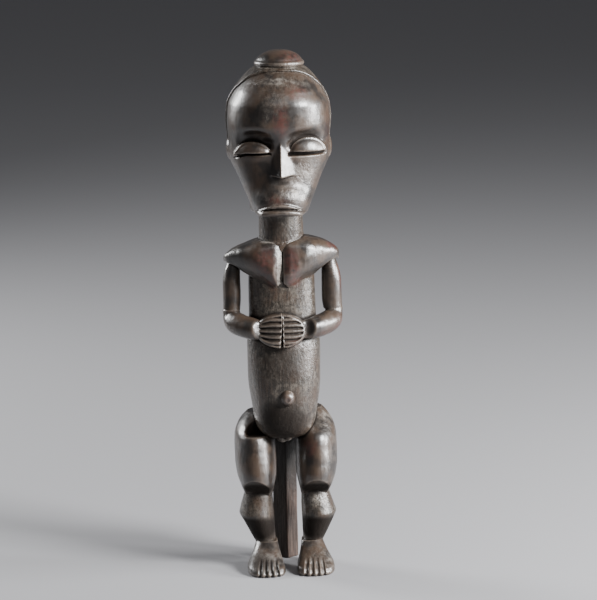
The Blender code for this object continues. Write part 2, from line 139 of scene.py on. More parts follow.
class Space:
    """A lattice of points over a box: x, y and z broadcast against each other."""

    def __init__(self, low, high, step):
        self.low, self.step = np.asarray(low, float), step
        axes = [np.arange(a, b + step, step, dtype=np.float32) for a, b in zip(low, high)]
        self.x = axes[0][:, None, None]
        self.y = axes[1][None, :, None]
        self.z = axes[2][None, None, :]
        self.shape = tuple(len(axis) for axis in axes)

    def even(self, field):
        """The field rescaled so that it grows by 1 per millimetre near its surface."""
        slopes = np.gradient(field, self.step)
        steepness = np.sqrt(sum(slope * slope for slope in slopes))
        return field / np.maximum(steepness, LEAST_STEEPNESS)

    def loft(self, sections, power=2.2, side=1, skew=0.0):
        """A column whose sections are superellipses.

        Each row gives a height, the middle x, the half width, the front y, the widest y and the back y.
        skew moves the middle inwards for each millimetre ahead of the widest y.
        """
        rows = np.array(sections, float)
        at = self.z.astype(float)
        middle, half, front, widest, back = (curve(at, rows[:, 0], rows[:, i]) for i in range(1, 6))
        along = self.y - widest
        across = self.x - side * (middle + skew * np.minimum(along, 0))
        depth = np.where(along < 0, widest - front, back - widest)
        share = (np.abs(across / half) ** power + np.abs(along / depth) ** power) ** (1 / power)
        reach = np.sqrt(across * across + along * along)
        wall = reach - reach / np.maximum(share, TINY)
        return np.maximum(wall, np.maximum(rows[0, 0] - at, at - rows[-1, 0])).astype(np.float32)

    def plane(self, point, normal):
        """Everything behind a plane. The normal points out of the wood."""
        n = np.asarray(normal, float) / np.linalg.norm(normal)
        p = np.asarray(point, float)
        return (self.x - p[0]) * n[0] + (self.y - p[1]) * n[1] + (self.z - p[2]) * n[2]

    def ellipsoid(self, centre, radii, turn=0.0, tip=0.0, droop=0.0):
        """turn is about Z and tip about Y, in degrees. droop bends the ends down, in 1/mm."""
        x, y, z = self.x - centre[0], self.y - centre[1], self.z - centre[2]
        z = z + droop * x * x
        c, s = math.cos(math.radians(turn)), math.sin(math.radians(turn))
        x, y = x * c + y * s, y * c - x * s
        c, s = math.cos(math.radians(tip)), math.sin(math.radians(tip))
        x, z = x * c - z * s, z * c + x * s
        size = np.sqrt((x / radii[0]) ** 2 + (y / radii[1]) ** 2 + (z / radii[2]) ** 2)
        slope = np.sqrt((x / radii[0] ** 2) ** 2 + (y / radii[1] ** 2) ** 2 + (z / radii[2] ** 2) ** 2)
        return size * (size - 1) / np.maximum(slope, TINY)

    def limb(self, points):
        """A rounded limb along a smooth curve through points given as (x, y, z, radius)."""
        points = np.array(points, float)
        at = np.concatenate([[0], np.cumsum(np.linalg.norm(np.diff(points[:, :3], axis=0), axis=1))])
        along = np.linspace(0, at[-1], LIMB_STRETCHES + 1)
        points = np.stack([curve(along, at, column) for column in points.T], axis=1)
        parts = []
        for a, b in zip(points, points[1:]):
            start, way = a[:3], b[:3] - a[:3]
            dx, dy, dz = self.x - start[0], self.y - start[1], self.z - start[2]
            share = np.clip((dx * way[0] + dy * way[1] + dz * way[2]) / (way @ way), 0, 1)
            away = np.sqrt((dx - share * way[0]) ** 2 + (dy - share * way[1]) ** 2 + (dz - share * way[2]) ** 2)
            parts.append(away - (a[3] + share * (b[3] - a[3])))
        return reduce(np.minimum, parts)

    def front_line(self, points):
        """Distance in front view from a line through (x, z) points, whatever the depth."""
        nearest = None
        for a, b in zip(points, points[1:]):
            wx, wz = b[0] - a[0], b[1] - a[1]
            dx, dz = self.x - a[0], self.z - a[1]
            share = np.clip((dx * wx + dz * wz) / (wx * wx + wz * wz), 0, 1)
            away = np.sqrt((dx - share * wx) ** 2 + (dz - share * wz) ** 2)
            nearest = away if nearest is None else np.minimum(nearest, away)
        return nearest


def slit(body, away, depth, width, floor=0.0):
    """A V cut of this depth and width along a line that lies at distance away. floor is its flat share."""
    return body + depth * np.clip((1 - away / (width / 2)) / (1 - floor), 0, 1)


# ---- Meshes ----

CORNERS = np.array([(i, j, k) for i in (0, 1) for j in (0, 1) for k in (0, 1)])
EDGES = [(a, b) for a in range(8) for b in range(a + 1, 8) if np.abs(CORNERS[a] - CORNERS[b]).sum() == 1]


def sampled(field, at):
    """The field between lattice points, and its slope, at positions counted in steps."""
    cell = np.clip(np.floor(at).astype(int), 0, np.array(field.shape) - 2)
    t = at - cell
    value, slope = np.zeros(len(at)), np.zeros((len(at), 3))
    for corner in CORNERS:
        near = np.where(corner == 1, t, 1 - t)
        v = field[tuple((cell + corner).T)]
        value += v * near.prod(axis=1)
        sign = np.where(corner == 1, 1.0, -1.0)
        for axis in range(3):
            others = [i for i in range(3) if i != axis]
            slope[:, axis] += v * sign[axis] * near[:, others].prod(axis=1)
    return value, slope


def skin(field):
    """The field's zero surface, with one point in each cell it crosses: points in steps, normals and quads."""
    inside = field < 0
    block = [slice(0, -1), slice(1, None)]
    count = sum(inside[block[i], block[j], block[k]].astype(np.int8) for i, j, k in CORNERS)
    cells = np.argwhere((count > 0) & (count < 8))
    number = np.full(count.shape, -1, np.int32)
    number[tuple(cells.T)] = np.arange(len(cells))
    values = np.stack([field[tuple((cells + corner).T)] for corner in CORNERS], axis=1)
    total, hits = np.zeros((len(cells), 3)), np.zeros(len(cells))
    for a, b in EDGES:
        va, vb = values[:, a], values[:, b]
        cross = (va < 0) != (vb < 0)
        t = np.where(cross, va / np.where(cross, va - vb, 1), 0)
        total += cross[:, None] * (CORNERS[a] + t[:, None] * (CORNERS[b] - CORNERS[a]))
        hits += cross
    points = cells + total / hits[:, None]
    quads = []
    for axis in range(3):
        one, two = [i for i in range(3) if i != axis]
        low, high = [slice(None)] * 3, [slice(None)] * 3
        low[axis], high[axis] = slice(0, -1), slice(1, None)
        low, high = inside[tuple(low)], inside[tuple(high)]
        for into in (True, False):
            at = np.argwhere((low & ~high) if into else (~low & high))
            ring = []
            for back_one, back_two in ((1, 1), (0, 1), (0, 0), (1, 0)):
                cell = at.copy()
                cell[:, one] -= back_one
                cell[:, two] -= back_two
                ring.append(number[tuple(cell.T)])
            ring = np.stack(ring, axis=1)
            quads.append(ring if into == (axis != 1) else ring[:, ::-1])
    quads = np.concatenate(quads)
    for _ in range(NEWTON_ROUNDS):
        value, slope = sampled(field, points)
        steep = np.maximum((slope * slope).sum(axis=1), TINY**2)
        move = slope * (value / steep)[:, None]
        points = points - np.clip(move, -NEWTON_MOST, NEWTON_MOST)
    _, slope = sampled(field, points)
    return points, slope / np.maximum(np.linalg.norm(slope, axis=1), TINY**2)[:, None], quads


# ---- The members ----

# Outlines of the columns, from the floor up: height, middle x, half width, front y, widest y, back y.
SKULL = (
    (274, 0, 17.5, -36, -14, 8),
    (285, 0, 22.2, -36, -12, 18),
    (294, 0, 26.2, -33.5, -8, 25),
    (303, 0, 30, -31, -4, 30),
    (312, 0, 34.2, -29.5, -1, 34),
    (319, 0, 37.4, -29, 1, 36),
    (326, 0, 38.9, -30, 2, 37.3),
    (335, 0, 38.4, -33.5, 2, 38),
    (347, 0, 38.9, -37.2, 3, 38.3),
    (360, 0, 37.6, -37, 3, 37),
    (370, 0.2, 33.6, -32.5, 3, 34),
    (378, 0.6, 28.2, -24.5, 4, 29.5),
    (384, 1, 22.6, -16, 5, 25),
    (389, 1.2, 16, -9, 6, 20),
)
TRUNK = (
    (103.5, 0, 14, -13, 2, 14),
    (106.5, 0, 19, -21, 1, 19),
    (111, 0, 21.8, -25.6, 1, 22),
    (118, 0, 23.6, -28.5, 0, 23.6),
    (130, 0, 25.4, -30.8, 0, 22),
    (150, 0, 27.7, -31, -1, 17.5),
    (174, 0, 28, -27, -1, 16),
    (201, -0.4, 25.6, -21, -1, 16.5),
    (244, -0.4, 25, -17, 0, 17),
)
THIGH = (
    (57, 21.4, 10.2, -13, -4, 6.5),
    (62, 21.9, 11.6, -22, -5, 7.5),
    (68, 22.4, 13.4, -28, -6, 8.5),
    (76, 22.9, 15.3, -28.6, -5, 10.5),
    (86, 23.4, 16, -26.6, -3, 15),
    (96, 23.6, 16, -24, 3, 26.5),
    (102.5, 23.6, 15.8, -22, 5, 30.5),
    (107, 23.5, 15.2, -19.5, 7, 32),
    (113, 23.2, 13.6, -13, 9, 31),
    (119, 22.6, 11.2, -5, 11, 28),
    (125, 21.8, 7.4, 3, 13, 22),
)
# The lap: its level, and the middle, tilt and radii of the hollow over it, beside the belly.
LAP_Z, LAP_X, LAP_Y, LAP_RISE, LAP_TURN = 106.2, 19.0, -18.0, 7.0, 12
LAP_HOLLOW = (13.6, 16.0, 13.0)
THIGH_DROP = {-1: 4.5, 1: 2.0}  # how far the top of each hip lies under the table's last row
THIGH_RISE = 18.8  # from the lap to the table's last row
THIGH_LOW_Z = 58.0
# The flat cut under each knee: a point of it, how far it leans sideways, and the rest of its normal.
KNEE_X, KNEE_Y, KNEE_Z = 23.0, -28.2, 73.4
KNEE_TILT, KNEE_SLOPE = {-1: -0.17, 1: 0.0}, (-0.64, -0.77)
# The calf is two cones that meet on an arris, each carried past it.
CALF_UPPER = (
    (18, 27.7, 17.2, -25.8, -1, 23.7),
    (43, 24.2, 13.5, -19, -1, 14.2),
    (62, 21.5, 10.6, -13.8, -3, 7),
)
CALF_LOWER = (
    (18, 17.6, 7.4, -10.6, -2, 5.2),
    (43, 24.2, 13.5, -19, -1, 14.2),
    (62, 29.2, 18.1, -25.4, -1, 21),
)
FOOT = (
    (-4, 19.2, 12, -35.6, -24, 7.6),
    (0, 19.2, 13.4, -37.3, -24, 8),
    (2, 19.2, 14.3, -38.4, -24, 8.4),
    (5, 19.2, 14.2, -36.5, -23, 8.4),
    (9, 18.9, 12.7, -30, -20, 8),
    (14.5, 18.2, 10.3, -21.5, -13, 7),
    (21.5, 17.5, 8, -12.6, -4, 5.7),
)
LEGS_SHIFT, LEGS_SHIFT_TOP = 1.8, 60.0  # the feet stand this far to the figure's left, and the knees don't

# The hair's front edge in side view: height, and y.
HAIRLINE = (
    *((279, 11), (320, 9), (350, 6), (360, 3.5)),
    *((369, -1), (376, -7.5), (381, -10), (384.5, -12.5)),
)
HAIRLINE_LEAN = 3.0  # how fast it runs on forward above the last of these
HAIR_STEP, HAIR_CORNER = 0.8, 2.5  # how far it stands off the skull, and more at its lower right corner
HAIR_CORNER_Z, HAIR_CORNER_X = (298, 281), (4, -6)  # where that corner starts and is full
HAIR_BEAD, HAIR_BEAD_BACK, HAIR_BEAD_WIDTH = 0.5, 1.1, 0.9  # the raised rim along its front edge
HAIR_BEAD_Z = (318, 350)  # where the rim starts and is full
HAIR_OVERLAP = 2.0  # how far the skull runs on under the hair
KNOT_SEAT = 0.6  # how far the hair rises into the button's stem
SKULL_POWER, TRUNK_POWER, THIGH_POWER, CALF_POWER, FOOT_POWER = 2.2, 2.25, 1.95, 2.0, 2.5

JAW_Z = mm_box("head")[0][2]
NECK_LOW, NECK_HIGH = mm_box("neck")
NECK_RADIUS = (NECK_HIGH[0] - NECK_LOW[0]) / 2
KNOT_LOW, KNOT_HIGH = mm_box("topknot")


def shifted(rows, side):
    """The rows of a leg, with the small shift of both feet to the figure's left taken in."""
    return [(z, x + side * LEGS_SHIFT * max(0.0, 1 - z / LEGS_SHIFT_TOP), *rest) for z, x, *rest in rows]


def facet(s, a, b, c, inner):
    """The plane through three points, with the inner point inside."""
    a, b, c, inner = (np.array(p, float) for p in (a, b, c, inner))
    normal = np.cross(b - a, c - a)
    return s.plane(a, -normal if (inner - a) @ normal > 0 else normal)


def skull(s):
    return s.even(s.loft(SKULL, power=SKULL_POWER))


def behind_hairline(s):
    """Negative behind the hair's front edge."""
    rows = np.array(HAIRLINE, float)
    at = s.z.astype(float)
    edge = curve(at, rows[:, 0], rows[:, 1]) - HAIRLINE_LEAN * np.maximum(at - rows[-1, 0], 0)
    return s.even((edge - s.y + 0 * s.x).astype(np.float32))


# The eyes: the middle of each closed lid's lower edge, and the lid's half width and rise above it.
EYE_X, EYE_Y, EYE_Z = 20.9, -22.5, 326.2
EYE_TURN = 27.0
EYE_SAG, EYE_SAG_FROM = {1: 0.4, -1: 3.4}, 5  # how far each lid's outer end hangs, and where it starts to
# The two hollows round each eye: the middle from the lid's edge, the radii, and the rounding of the rim.
EYE_HOLLOWS = (
    ((-1.6, -9.6, 7.6), (17, 8.6, 8.8), 4.6),
    ((-9, -9, 5), (7, 5.6, 5), 2),
)
LID_HALF, LID_RISE = 14.4, {1: 11.2, -1: 8.4}
LID_RIM, LID_RIM_RISE, LID_RIM_AT = 0.9, 0.7, 0.95  # width, height, and place as a share of the lid's outline
LID_RIM_Z = (EYE_Z - 1, EYE_Z + 2)  # where the rim starts and is full
LID_BALL, LID_DEPTH, LID_MORE = (0, 2.0, -1.5), 8.8, (1.5, 2.1)  # the ball under a lid, past the lid's outline
LID_BLEND = 0.4
SLIT_CUT, SLIT_FLOOR = {1: (2.8, 3.9), -1: (1.4, 2.0)}, 0.45  # depth and width of the slit under each lid
SLIT_LINE = {
    1: ((7.2, 325.0), (22, 324.9), (34.2, 324.7)),
    -1: ((-7.4, 325.4), (-25.0, 325.0), (-33.8, 321.8)),
}


def eye_point(side, out, back, up):
    """A point given from the middle of a lid's lower edge: outwards, backwards and up."""
    return (side * (EYE_X + out), EYE_Y + back, EYE_Z + up)


def add_eye(s, face, side):
    """A lid that bulges in a hollow under the brow, closed on a slit."""
    turn, rise = side * EYE_TURN, LID_RISE[side]
    for middle, radii, rounding in EYE_HOLLOWS:
        face = carve(face, s.ellipsoid(eye_point(side, *middle), radii, turn), radius=rounding)
    across = side * s.x - EYE_X
    sag = EYE_SAG[side] * ramp(across, EYE_SAG_FROM, LID_HALF + 1)
    arch = np.sqrt((across / LID_HALF) ** 2 + ((s.z - EYE_Z + sag) / rise) ** 2)
    rim = np.maximum(1 - np.abs(arch - LID_RIM_AT) * rise / LID_RIM, 0) * ramp(s.z, *LID_RIM_Z)
    radii = (LID_HALF + LID_MORE[0], LID_DEPTH, rise + LID_MORE[1])
    lid = s.ellipsoid(eye_point(side, *LID_BALL), radii, turn)
    lid = keep(lid - LID_RIM_RISE * rim, (EYE_Z - sag) - s.z, (arch - 1.0) * rise, radius=0.5)
    face = soft_min(face, lid, LID_BLEND)
    depth, width = SLIT_CUT[side]
    depth = depth * ramp(across, LID_HALF + 0.5, LID_HALF - 5)
    return slit(face, s.front_line(SLIT_LINE[side]), depth, width, floor=SLIT_FLOOR)


# The nose from its tip up: height, ridge y, the widths of its right and left sides, and the y where they end.
NOSE = (
    (306.5, -38.8, 7, 8.6, -30.6),
    (309, -38.6, 6.8, 8.4, -30.6),
    (312, -37.8, 6, 8, -30.4),
    (317, -36.4, 5.2, 7.4, -29.8),
    (324, -34.9, 4.8, 6.4, -29.2),
    (333, -33.2, 5.6, 6.2, -29),
)
NOSE_X, NOSE_EDGE = 0.1, 0.3  # the ridge, and its rounding
NOSE_TOP_Z, NOSE_BACK_Y = 333.6, -22
NOSE_TIP, NOSE_UNDER = (0, -39.2, 308.2), (0, 0.10, -1)  # a point under the tip, and which way it faces


def nose(s):
    rows = np.array(NOSE, float)
    at = s.z.astype(float)
    ridge, right, left, base = (curve(at, rows[:, 0], rows[:, i]) for i in (1, 2, 3, 4))
    half = np.where(s.x < NOSE_X, right, left)
    away = np.sqrt((s.x - NOSE_X) ** 2 + NOSE_EDGE**2) - NOSE_EDGE
    wedge = s.even((away / half + (ridge - s.y) / (base - ridge)) * half)
    under = s.plane(NOSE_TIP, NOSE_UNDER)
    return keep(wedge, under, s.z - NOSE_TOP_Z, s.y - NOSE_BACK_Y, radius=0.6)


# The mouth, carved in relief: for each line its height at the middle and how far its ends hang (1/mm).
MOUTH_X, MOUTH_HALF = -0.7, 19.0
LIP_TOP, LIP_GAP, LIP_MIDDLE = (288.0, 0.019), (285.0, 0.011), (282.0, 0.008)
UPPER_LIP, UPPER_EDGE, LOWER_LIP, LOWER_HALF = 1.3, 0.3, 3.7, 2.8  # how far each stands out, and a half height
UPPER_FADE, GAP_FADE, EDGE_WIDTH = (1.2, -0.6), (-0.1, 1.0), 0.8  # the slopes above and below the upper lip
MOUTH_FADE_X, MOUTH_FADE_Y = (MOUTH_HALF + 1, MOUTH_HALF - 5), (-14, -22)
MUZZLE, MUZZLE_RADII, MUZZLE_BLEND = (0.0, -20.5, 290.5), (19.5, 17.0, 13.2), 5.0
# The jaw stands out at its right corner, down to a flat cut.
JAW_CORNER, JAW_RADII, JAW_CUT, JAW_BLEND = (-19.0, -4.0, 283.4), (4.2, 9.0, 8.0), 5.0, 2.0


def mouth(s):
    """How far the lips stand out of the muzzle."""
    out = s.x - MOUTH_X
    top, gap, middle = (s.z - (height - hang * out * out) for height, hang in (LIP_TOP, LIP_GAP, LIP_MIDDLE))
    upper = UPPER_LIP * ramp(top, *UPPER_FADE) * ramp(gap, *GAP_FADE)
    edge = UPPER_EDGE * np.exp(-((top / EDGE_WIDTH) ** 2))
    lower = LOWER_LIP * np.sqrt(np.clip(1 - (middle / LOWER_HALF) ** 2, 0, 1))
    held = ramp(np.abs(out), *MOUTH_FADE_X) * ramp(s.y, *MOUTH_FADE_Y)
    return np.maximum(upper + edge, lower) * held


def face(s):
    f = skull(s)
    f = soft_min(f, s.ellipsoid(MUZZLE, MUZZLE_RADII), MUZZLE_BLEND)
    f = soft_min(f, nose(s), 1.0)
    for side in (-1, 1):
        f = add_eye(s, f, side)
    jaw = keep(s.ellipsoid(JAW_CORNER, JAW_RADII), JAW_CORNER[2] - JAW_CUT - s.z, radius=0.6)
    f = soft_min(f, jaw, JAW_BLEND)
    return keep(f - mouth(s), JAW_Z - s.z, radius=1.0)


def head(s):
    return keep(face(s), -behind_hairline(s) - HAIR_OVERLAP, radius=0.8)


def coiffure(s):
    cap = skull(s) - HAIR_STEP - HAIR_CORNER * ramp(s.z, *HAIR_CORNER_Z) * ramp(s.x, *HAIR_CORNER_X)
    behind = behind_hairline(s)
    bead = np.exp(-(((behind + HAIR_BEAD_BACK) / HAIR_BEAD_WIDTH) ** 2))
    cap = cap - HAIR_BEAD * bead * ramp(s.z, *HAIR_BEAD_Z)
    return keep(cap, behind, s.z - (KNOT_LOW[2] + KNOT_SEAT), JAW_Z - s.z, radius=0.7)


# The button on the crown, each measured from its radius or its base.
KNOT_RIM, KNOT_RIM_LIFT = 2.0, 2.1
KNOT_DOME_INSET, KNOT_DOME_LIFT, KNOT_DOME_FLOOR = 0.9, 1.6, 1.0
KNOT_STEM_INSET, KNOT_STEM_TOP, KNOT_STEM_FOOT = 2.2, 2, 1.5


def topknot(s):
    x, y = (KNOT_LOW[0] + KNOT_HIGH[0]) / 2, (KNOT_LOW[1] + KNOT_HIGH[1]) / 2
    radius, base, top = (KNOT_HIGH[0] - KNOT_LOW[0]) / 2, KNOT_LOW[2], KNOT_HIGH[2]
    away = np.sqrt((s.x - x) ** 2 + (s.y - y) ** 2)
    rim = np.sqrt((away - (radius - KNOT_RIM)) ** 2 + (s.z - base - KNOT_RIM_LIFT) ** 2) - KNOT_RIM
    wide = radius - KNOT_DOME_INSET
    dome = s.ellipsoid((x, y, base + KNOT_DOME_LIFT), (wide, wide, top - base - KNOT_DOME_LIFT))
    dome = keep(dome, base + KNOT_DOME_FLOOR - s.z, radius=0.5)
    foot_cut = base - KNOT_STEM_FOOT - s.z
    stem = keep(away - radius + KNOT_STEM_INSET, s.z - base - KNOT_STEM_TOP, foot_cut, radius=0.5)
    return union(dome, np.maximum(rim, away - radius), stem, radius=0.9)


EAR_X, EAR_Y, EAR_Z, EAR_RADII = 36.8, 2.0, 326.8, (3.3, 7.5, 8.8)


def ear(s, side):
    return s.ellipsoid((side * EAR_X, EAR_Y, EAR_Z), EAR_RADII)


# The neck: how much it widens at its two ends and over what height, and the ridge round its foot, which is
# NECK_RIDGE high and 1 mm wide on either side, with its height, and its slopes sideways and back.
NECK_FLARE_LOW, NECK_FLARE_HIGH = (0.9, 7), (0.5, 5)
NECK_RIDGE, NECK_RIDGE_Z, NECK_RIDGE_SLOPES = 0.6, 259.4, (0.105, 0.25)
NECK_INTO_CHEST, NECK_INTO_HEAD = 3, 1.5  # how far it runs on past its CAD node


def neck(s):
    away = np.sqrt(s.x**2 + s.y**2)
    low, high = NECK_LOW[2], NECK_HIGH[2]
    (foot_more, foot_tall), (head_more, head_tall) = NECK_FLARE_LOW, NECK_FLARE_HIGH
    flare = foot_more * ramp(s.z, low + foot_tall, low) + head_more * ramp(s.z, high - head_tall, high)
    ridge = s.z - (NECK_RIDGE_Z + NECK_RIDGE_SLOPES[0] * s.x + NECK_RIDGE_SLOPES[1] * s.y)
    wall = away - NECK_RADIUS - flare - NECK_RIDGE * np.maximum(1 - np.abs(ridge), 0)
    return keep(wall, low - NECK_INTO_CHEST - s.z, s.z - high - NECK_INTO_HEAD, radius=0.4)


# The yoke of chest and shoulders, from the right shoulder to the left: x, then a height or a depth.
YOKE_TOP = (
    *((-44.5, 244.9), (-38, 249.2), (-30, 252.9), (-16, 257.6), (0, 259.6)),
    *((16, 259), (30, 255.8), (38, 252.2), (45, 247.4)),
)
YOKE_LOW = (
    *((-44.5, 242.4), (-41, 239.2), (-36, 237.6), (-30, 233.2), (-17, 226.2), (-8.4, 221)),
    *((-4, 223.5), (-1, 225.5), (1, 224.8), (4.4, 222.3), (13.3, 224.4), (24.5, 230.7)),
    *((30.2, 235.6), (37, 240), (41, 241.6), (45, 244.4)),
)
YOKE_FRONT = ((0, -22.6), (7, -24.9), (17, -24.4), (30, -18.4), (38, -12.4), (43, -8.2), (45.5, -5.0))
YOKE_BACK = ((0, 18.0), (17, 17.6), (30, 15.0), (38, 12.0), (44.5, 6.5))
YOKE_X = -0.3  # the middle of its front and back
# Slopes in mm per mm, each with the y or the height that it starts from: the top falls forwards and backwards,
# and the front and the back lean in as they rise.
TOP_FORE, TOP_REAR, FRONT_LEAN, BACK_LEAN = (0.22, -5), (0.45, 6), (0.30, 233), (0.25, 246)
YOKE_REAR_LOW, YOKE_REAR_SLOPE = 233.0, 0.14  # the lower edge at the back, and its rise towards the shoulders
YOKE_REAR_Y = (-6, 6)  # where the lower edge turns from the front's line to the back's
YOKE_ROUND_FRONT, YOKE_ROUND_BACK, YOKE_ROUND_TIP, YOKE_ROUND_LOW = 4.5, 7.0, 2.0, 0.9
SHOULDER_X = mm_box("chest")[1][0]
# The lower side of each breast turns under along a ridge from the shoulder's tip: two points of the lower edge,
# one of the ridge, and one inside the wood.
UNDER_LOW, UNDER_HIGH, UNDER_RIDGE = (4.6, -20.2, 222.0), (31.0, -9.8, 236.4), (17.0, -23.2, 238.6)
UNDER_INSIDE, UNDER_SOFT = (14.0, 0.0, 240.0), 6.0
# The groove between the breasts: its line, the height and y of its floor, how far each wall leans, and its top.
GROOVE_X, GROOVE_RIGHT, GROOVE_LEFT, GROOVE_TOP_Z = 0.4, 1.5, 0.03, 253.5
GROOVE_FLOOR = ((222, -18.4), (232, -19.1), (241, -18.6), (253, -15.6))


def beyond(value, slope_and_start):
    """How much a slope adds at value, once past its start."""
    slope, start = slope_and_start
    return slope * np.maximum(value - start, 0)


def chest(s):
    x = s.x.astype(float)
    spread = np.abs(x - YOKE_X)
    top = curve(x, *zip(*YOKE_TOP)) - TOP_FORE[0] * np.maximum(TOP_FORE[1] - s.y, 0) - beyond(s.y, TOP_REAR)
    front = curve(spread, *zip(*YOKE_FRONT)) + beyond(s.z, FRONT_LEAN)
    back = curve(spread, *zip(*YOKE_BACK)) - beyond(s.z, BACK_LEAN)
    low = curve(x, *zip(*YOKE_LOW))
    low = low + (YOKE_REAR_LOW + YOKE_REAR_SLOPE * spread - low) * ramp(s.y, *YOKE_REAR_Y)
    body = keep(s.even(s.z - top), s.even(front - s.y + 0 * x), radius=YOKE_ROUND_FRONT)
    body = keep(body, s.even(s.y - back + 0 * x), radius=YOKE_ROUND_BACK)
    body = keep(body, spread - SHOULDER_X, radius=YOKE_ROUND_TIP)
    for side in (-1, 1):
        corners = mirrored((UNDER_LOW, UNDER_HIGH, UNDER_RIDGE, UNDER_INSIDE), side)
        body = soft_max(body, facet(s, *corners), UNDER_SOFT)
    body = keep(body, s.even(low - s.z + 0 * s.y), radius=YOKE_ROUND_LOW)
    proud = curve(s.z.astype(float), *zip(*GROOVE_FLOOR)) - s.y
    wedge = np.maximum(GROOVE_X - s.x - proud * GROOVE_RIGHT, s.x - GROOVE_X - proud * GROOVE_LEFT)
    wedge = np.maximum(wedge, s.z - GROOVE_TOP_Z)
    return carve(body, s.even(wedge), radius=0.5)


# The groove down the back: the share of its width, its y, radius, top and rounding.
SPINE_FLAT, SPINE_Y, SPINE_RADIUS, SPINE_TOP_Z, SPINE_ROUND = 0.9, 20.5, 3.6, 232, 4.0
# The worn stub under the belly: the middles and radii of its two lumps.
STUB = (((1.8, -17.0, 105.8), (2.6, 3.4, 3.0)), ((-3.0, -15.5, 105.0), (4.0, 3.4, 3.6)))
STUB_BLEND = 1.5


def trunk_wall(s):
    return s.even(s.loft(TRUNK, power=TRUNK_POWER))


def trunk(s):
    spine = np.sqrt((s.x * SPINE_FLAT) ** 2 + (s.y - SPINE_Y) ** 2) - SPINE_RADIUS
    body = carve(trunk_wall(s), np.maximum(spine, s.z - SPINE_TOP_Z), radius=SPINE_ROUND)
    stub = union(*(s.ellipsoid(middle, radii) for middle, radii in STUB), radius=STUB_BLEND)
    return soft_min(body, stub, STUB_BLEND)


NAVEL_X, NAVEL_Y, NAVEL_Z, NAVEL_RADII = 1.3, -30.2, 139.2, (5.5, 5.9, 6.1)
DENT_ASIDE, DENT_Y, DENT_RADII, DENT_ROUND = 0.6, -36.8, (1.9, 1.3, 1.7), 1.4


def navel(s):
    knob = s.ellipsoid((NAVEL_X, NAVEL_Y, NAVEL_Z), NAVEL_RADII)
    dent = s.ellipsoid((NAVEL_X + DENT_ASIDE, DENT_Y, NAVEL_Z - DENT_ASIDE), DENT_RADII)
    return carve(knob, dent, radius=DENT_ROUND)


UPPER_ARM = (
    (36.4, 3, 246, 4.2),
    (36.6, 2.4, 239, 4.8),
    (38, 1.4, 231.5, 5.8),
    (38.8, 0.5, 223, 6.4),
    (38.8, -0.4, 212, 6.4),
    (39.1, -1.6, 201, 6.2),
)
ARM_THICK = {-1: 0.3, 1: 1.2}  # how much thicker each arm is than the table, on its inner side
ARM_SHARE = (-0.5, 0.0, 0.8, 1.0, 1.0, 0.6)  # the share of that thickness at each point
FOREARM = (
    (39.2, -1.6, 201, 6.2),
    (38.5, -3.6, 197, 6.9),
    (36.7, -7, 194.3, 7.9),
    (32.6, -12, 192.9, 8.4),
    (26.5, -17.2, 191.6, 8.4),
    (20, -21.6, 190.7, 7.6),
    (13, -24, 190.4, 6.6),
)
ELBOW_Z, ELBOW_OVERLAP, ELBOW_PROUD, ELBOW_TALL = 204.2, 2.0, 0.5, 6  # the step where the forearm starts
WRIST_PROUD, WRIST_FREE, WRIST_X = 5.0, 30.0, (16, 40)  # a forearm lies flat on the belly, and free further out
INTO_TRUNK = 2.0  # how far forearms and hands run on inside the trunk


def mirrored(points, side):
    return [(side * p[0], *p[1:]) for p in points]


def upper_arm(s, side):
    extra = [ARM_THICK[side] * share for share in ARM_SHARE]
    points = [(x - more, y, z, r + more) for (x, y, z, r), more in zip(UPPER_ARM, extra)]
    return keep(s.limb(mirrored(points, side)), ELBOW_Z - ELBOW_OVERLAP - s.z, radius=0.8)


def forearm(s, side):
    arm = s.limb(mirrored(FOREARM, side))
    arm = keep(arm - ELBOW_PROUD * ramp(s.z, ELBOW_Z - ELBOW_TALL, ELBOW_Z), s.z - ELBOW_Z, radius=1.3)
    wall = trunk_wall(s)
    flat = wall - WRIST_PROUD - WRIST_FREE * ramp(np.abs(s.x), *WRIST_X)
    return np.maximum(soft_max(arm, flat, 2.5), -wall - INTO_TRUNK)


HANDS_MIDDLE_X = (mm_box("right_hand")[0][0] + mm_box("left_hand")[1][0]) / 2
HANDS_X, HANDS_Z = -1.2, 190.4  # the cut between them, and their middle
HANDS_HALF_WIDE, HANDS_HALF_TALL, HAND_THICK = 19.4, 12.7, 6.4
FINGER_WIDTH, FINGER_CUT = 4.3, 1.5
FINGER_TAPER, FINGER_TAPER_X = 0.25, (8, 19)  # the share that is lost towards the wrist, and where
FINGER_TIPS, FINGER_ROOTS = (0.3, 1.6), (0.84, 0.62)  # where the cuts start by the parting and end by the rim
HAND_FLOOR = 27.3  # how far forward the floor of the cut between the hands lies
HAND_BEVEL = {-1: 0.5, 1: 0.06}  # how far each hand's wall of that cut leans


